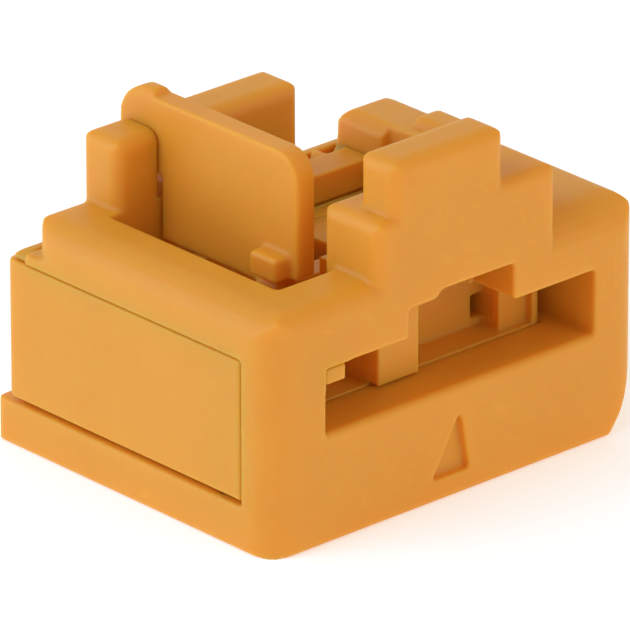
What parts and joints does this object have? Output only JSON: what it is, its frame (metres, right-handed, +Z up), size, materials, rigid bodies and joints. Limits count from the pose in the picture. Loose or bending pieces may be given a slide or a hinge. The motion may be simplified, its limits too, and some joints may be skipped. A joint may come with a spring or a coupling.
{
  "type": "keyed block wire connector",
  "caption": "Small orange block wire connector with a keyed plug opening in front, push-down release blade, wire clamps in an open bay and squeeze latches at its sides.",
  "frame": {"origin": "middle of the underside", "axes": "+X right along the front face, +Y from the plug opening towards the rear step, +Z up"},
  "size_m": [0.0166, 0.0138, 0.0126],
  "materials": {
    "case_plastic": "satin moulded orange",
    "insert_plastic": "satin moulded orange, slightly deeper",
    "contact_brass": "stamped brass",
    "spring_steel": "rolled spring steel",
    "pin_steel": "drawn steel wire"
  },
  "bodies": {
    "case": {"housing": "case_plastic", "rear_cover": "case_plastic", "base_cover": "case_plastic", "wire_saddle": "case_plastic", "coding_key": "case_plastic", "contact_carrier": "insert_plastic", "carrier_wedge": "insert_plastic", "terminal_lock": "insert_plastic", "contact_1": "contact_brass", "contact_2": "contact_brass", "contact_3": "contact_brass", "clamp_rod": "pin_steel", "left_latch_pin": "pin_steel", "right_latch_pin": "pin_steel", "left_latch_spring": "spring_steel", "right_latch_spring": "spring_steel"},
    "blade": {"release_blade": "case_plastic"},
    "clamp_1": {"clamp_lever_1": "spring_steel"},
    "clamp_2": {"clamp_lever_2": "spring_steel"},
    "clamp_3": {"clamp_lever_3": "spring_steel"},
    "latch_left": {"left_latch": "case_plastic"},
    "latch_right": {"right_latch": "case_plastic"}
  },
  "joints": [
    {"name": "blade_slide", "type": "slide", "parent": "case", "child": "blade", "axis": [0, 0, -1], "range_m": [0, 0.0008], "stiffness_N_per_m": 2000},
    {"name": "clamp_1_tilt", "type": "hinge", "parent": "case", "child": "clamp_1", "pos_m": [-0.00366, -0.0002, 0.00545], "axis": [1, 0, 0], "range_deg": [0, 27.6]},
    {"name": "clamp_2_tilt", "type": "hinge", "parent": "case", "child": "clamp_2", "pos_m": [0.00014, -0.0002, 0.00545], "axis": [1, 0, 0], "range_deg": [0, 27.6]},
    {"name": "clamp_3_tilt", "type": "hinge", "parent": "case", "child": "clamp_3", "pos_m": [0.00394, -0.0002, 0.00545], "axis": [1, 0, 0], "range_deg": [0, 27.6]},
    {"name": "left_latch_squeeze", "type": "hinge", "parent": "case", "child": "latch_left", "pos_m": [-0.00771, -0.0041, 0.0042], "axis": [0, 0, -1], "range_deg": [0, 2.4], "stiffness_Nm_per_rad": 0.2},
    {"name": "right_latch_squeeze", "type": "hinge", "parent": "case", "child": "latch_right", "pos_m": [0.00771, -0.0041, 0.0054], "axis": [0, 0, 1], "range_deg": [0, 2.4], "stiffness_Nm_per_rad": 0.2}
  ],
  "couplings": [
    {"joint": "clamp_1_tilt", "follows": "blade_slide", "rad_per_m": 600},
    {"joint": "clamp_2_tilt", "follows": "blade_slide", "rad_per_m": 600},
    {"joint": "clamp_3_tilt", "follows": "blade_slide", "rad_per_m": 600}
  ]
}
